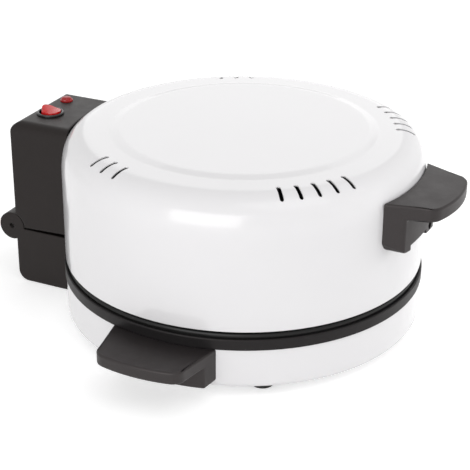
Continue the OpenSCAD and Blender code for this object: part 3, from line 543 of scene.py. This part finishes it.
# Black nylon, semi-gloss from its mould: the inlet and the lamp holder. The switch's rim below is
# made of it too.
inlet_plastic, paint, shader = new_finish("inlet_plastic", IOR=1.5)
gloss = grain(paint, 5, 3)
lay_on(paint, shader,
       Base_Color=blend_of(paint, gloss, (0.008, 0.008, 0.008), (0.014, 0.014, 0.014)),
       Roughness=0.16 + gloss * 0.12,
       Normal=dimple(paint, grain(paint, 0.8, 2), 0.01, 0.4))
dress(inlet_plastic, "power_inlet", "lamp_holder")

# The leads are wires in sleeves of woven glass, coloured rust red. The weave runs slantwise round
# them.
lead_sleeve, paint, shader = new_finish("lead_sleeve")
braid = paint.node("TexWave", {"wave_type": "BANDS", "bands_direction": "DIAGONAL"},
                   {"Vector": paint.node("TexCoord", output=3), "Scale": 700.0, "Distortion": 1.0})
lay_on(paint, shader,
       Base_Color=blend_of(paint, braid, (0.42, 0.12, 0.05), (0.62, 0.22, 0.10)),
       Roughness=0.6 + braid * 0.2, Normal=dimple(paint, braid, 0.1, 0.6))
dress(lead_sleeve, "base_leads", "lid_leads")

# The switch is a stock round rocker: a glossy black rim that snaps into the box's top, over a cup.
switch_at = Vector((-0.0123, pan_y + 0.1917, 0.1605))
cup_r, rim_r, rim_in, rim_h = 11.5, 12.5, 10.3, 2.2
cup_low, cup_floor = -18, -15
rim_path = rounded([
    (cup_r, cup_low, 0), (cup_r, 0, 0), (rim_r, 0, 0), (rim_r, rim_h, 1.1), (rim_in, rim_h, 0.8),
    (rim_in, cup_floor, 0)], 6)
rim = turned("switch_rim", [(0, cup_low), *[tuple(p) for p in rim_path], (0, cup_floor)], 72, switch_at)
finished(rim, "lid", "inlet_plastic", inlet_plastic, "switch_housing")

# Its rocker is a translucent red moulding with a hollow top and two flat sides. It is tipped to
# its OFF side.
red_rocker, paint, shader = new_finish("red_rocker", IOR=1.42)
shader.inputs["Transmission Weight"].default_value = 0.12
deep = grain(paint, 3, 2)
lay_on(paint, shader,
       Base_Color=blend_of(paint, deep, (0.50, 0.006, 0.008), (0.80, 0.022, 0.020)),
       Roughness=0.10 + deep * 0.12,
       Normal=dimple(paint, grain(paint, 1.2, 2), 0.01, 0.3, 0.5))
pivot = switch_at + Vector((0, 0, -0.0028))
bpy.ops.object.select_all(action="DESELECT")
rocker_r, rocker_side, rocker_low, rocker_top = 0.0088, 0.0082, -0.003, 0.0085
dish_r, dish_depth, rocker_tip = 0.0187, 0.0022, 11
bpy.ops.mesh.primitive_cylinder_add(
    vertices=64, radius=rocker_r, depth=rocker_top - rocker_low,
    location=pivot + Vector((0, 0, (rocker_top + rocker_low) / 2)))
rocker = bpy.context.object
rocker.name = rocker.data.name = "rocker_button"
bpy.ops.object.transform_apply(location=True, rotation=False, scale=False)
bpy.ops.object.mode_set(mode="EDIT")
for side in (-1, 1):
    bpy.ops.mesh.select_all(action="SELECT")
    bpy.ops.mesh.bisect(
        plane_co=pivot + Vector((side * rocker_side, 0, 0)), plane_no=(side, 0, 0), clear_outer=True, use_fill=True)
closed_up(rocker)
cut(rocker, [turned(
    "dish_tool", [(0, -12), (dish_r * 1000, -12), (dish_r * 1000, 12), (0, 12)], 160,
    pivot + Vector((0, 0, rocker_top - dish_depth + dish_r)), (1, 0, 0))])
alone(rocker)
change = rocker.modifiers.new("edges", "BEVEL")
change.width, change.segments, change.limit_method, change.angle_limit = 0.0005, 3, "ANGLE", radians(40)
bpy.ops.object.modifier_apply(modifier="edges")
bpy.ops.object.mode_set(mode="EDIT")
bpy.ops.mesh.select_all(action="SELECT")
bpy.ops.transform.rotate(value=-radians(rocker_tip), orient_axis="X", center_override=pivot)
closed_up(rocker, 35)
finished(rocker, "rocker", "red_rocker", red_rocker, "switch_rocker")

# The lamp is a translucent red lens with cut facets, on a smooth collar. It is pushed into the
# box's top.
red_lens, paint, shader = new_finish("red_lens", IOR=1.40)
shader.inputs["Transmission Weight"].default_value = 0.20
deep = grain(paint, 2, 2)
lay_on(paint, shader,
       Base_Color=blend_of(paint, deep, (0.26, 0.003, 0.006), (0.62, 0.014, 0.016)),
       Roughness=0.05 + deep * 0.05)
lamp_at = Vector((0.0241, pan_y + 0.1967, 0.1605))
lens = turned("lamp_lens", [
    (0, -3), (3.4, -3), (3.4, 0), (5.9, 0), (5.9, 1.1), (5.3, 1.5), (5.0, 2.2), (4.1, 3.2), (2.6, 3.8), (0, 4.0)],
    14, lamp_at, smooth=12)
finished(lens, "lid", "red_lens", red_lens, "indicator_lamp")
collar_in, collar_out, collar_h = 4.9, 6.0, 1.3
collar_path = rounded([
    (collar_in, 0, 0), (collar_out, 0, 0), (collar_out, collar_h, 0.5), (collar_in, collar_h, 0.4),
    (collar_in, 0, 0)], 4)
collar = turned("lamp_collar", [tuple(p) for p in collar_path], 64, lamp_at)
finished(collar, "lid", "red_lens", red_lens)

# The hinge pin is a steel bar with domed ends, which sit a little way inside the outer knuckles,
# so that each end shows as a small round recess.
pin_at = Vector((0, pan_y + 0.2185, 0.0553))
pin_r, nose_r, pin_end = 2.5, 1.6, 43.4
bar = turned("hinge_bar", [
    (0, -pin_end), (nose_r, -43.2), (pin_r, -42.6), (pin_r, -20), (pin_r, 20), (pin_r, 42.6), (nose_r, 43.2),
    (0, pin_end)], 40, pin_at, (1, 0, 0))
finished(bar, "base", "screw_steel", screw_steel, "hinge_pin")

# The worktop is a pale floor that shows as white, to the camera and in gloss, and keeps the
# cooker's soft shadow. It is no part of the cooker.
def seen_rays(paint):
    """1 for the rays that see a thing: from the camera, off gloss and through clear plastic."""
    path = [paint.node("LightPath", output=n) for n in (0, 3, 6)]
    return paint.sum("MAXIMUM", paint.sum("MAXIMUM", path[0], path[1]), path[2])


bpy.ops.mesh.primitive_plane_add(size=14, location=(0, 0, 0))
floor = bpy.context.object
floor.name = "floor"
pale_floor, paint, shader = new_finish("pale_floor", Base_Color=(0.80, 0.80, 0.80, 1), Roughness=0.8)
shader.inputs["Specular IOR Level"].default_value = 0.0
shader.inputs["Emission Color"].default_value = (1, 1, 1, 1)
paint.tree.links.new((seen_rays(paint) * 0.50).socket, shader.inputs["Emission Strength"])
floor.data.materials.append(pale_floor)

# Soft studio light: an even white room and four soft boxes, one above, one at each side and a weak
# one behind. The side box is kept out of reflections, which it would turn pure white from behind.
world = bpy.data.worlds.new("white_room")
bpy.context.scene.world = world
world.use_nodes = True
paint = Paint(world.node_tree)
room = world.node_tree.nodes["Background"]
room.inputs["Color"].default_value = (1, 1, 1, 1)
world.node_tree.links.new((0.58 + seen_rays(paint) * 0.37).socket, room.inputs["Strength"])


def soft_box(name, place, aim, width, watts):
    """A square lamp that faces a point of the cooker."""
    bpy.ops.object.light_add(type="AREA", location=place)
    lamp = bpy.context.object
    lamp.name = name
    lamp.data.shape = "SQUARE"
    lamp.data.size = width
    lamp.data.energy = watts
    lamp.rotation_euler = (Vector(aim) - Vector(place)).to_track_quat("-Z", "Y").to_euler()
    return lamp


pan_middle, lid_middle = (0, 0, 0.1), (0, 0, 0.15)
soft_box("key_box", (-0.35, -0.85, 1.9), pan_middle, 1.2, 3.2)
soft_box("front_box", (-1.95, -0.1, 0.55), pan_middle, 1.5, 18)
side_box = soft_box("side_box", (1.35, -1.8, 0.5), pan_middle, 1.8, 29)
side_box.visible_glossy = False
soft_box("back_box", (1.6, 0.8, 0.9), lid_middle, 1.3, 3)

bpy.context.scene.view_settings.view_transform = "Standard"
